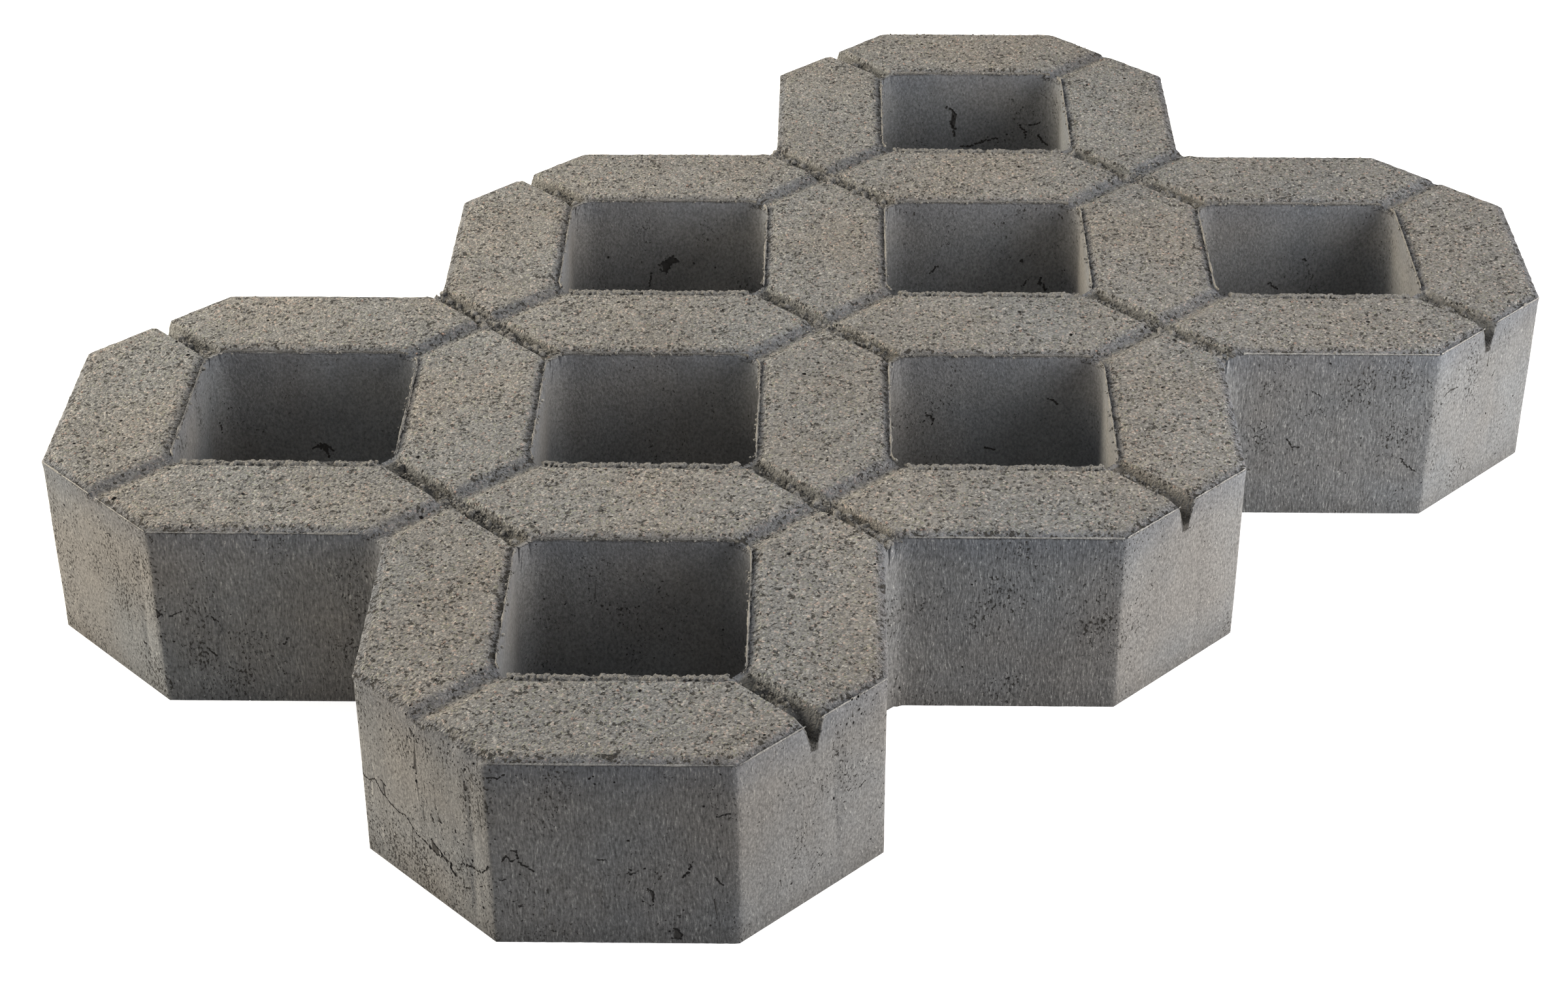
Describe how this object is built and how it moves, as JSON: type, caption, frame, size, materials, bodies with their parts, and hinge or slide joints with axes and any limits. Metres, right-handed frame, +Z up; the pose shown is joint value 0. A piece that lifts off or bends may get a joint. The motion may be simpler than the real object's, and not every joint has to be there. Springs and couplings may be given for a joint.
{
  "type": "concrete grass paver",
  "caption": "Pressed concrete lawn slab with square through cells set diagonally, grooved top and flat underside.",
  "frame": {"origin": "under the middle of the slab, on the flat underside", "axes": "+X along the 594 mm side, +Y along the 394 mm side, +Z up out of the grooved top"},
  "size_m": [0.594, 0.394, 0.08],
  "materials": {
    "concrete": "rough pressed concrete"
  },
  "bodies": {
    "root": {"grass_paver": "concrete"}
  },
  "joints": []
}
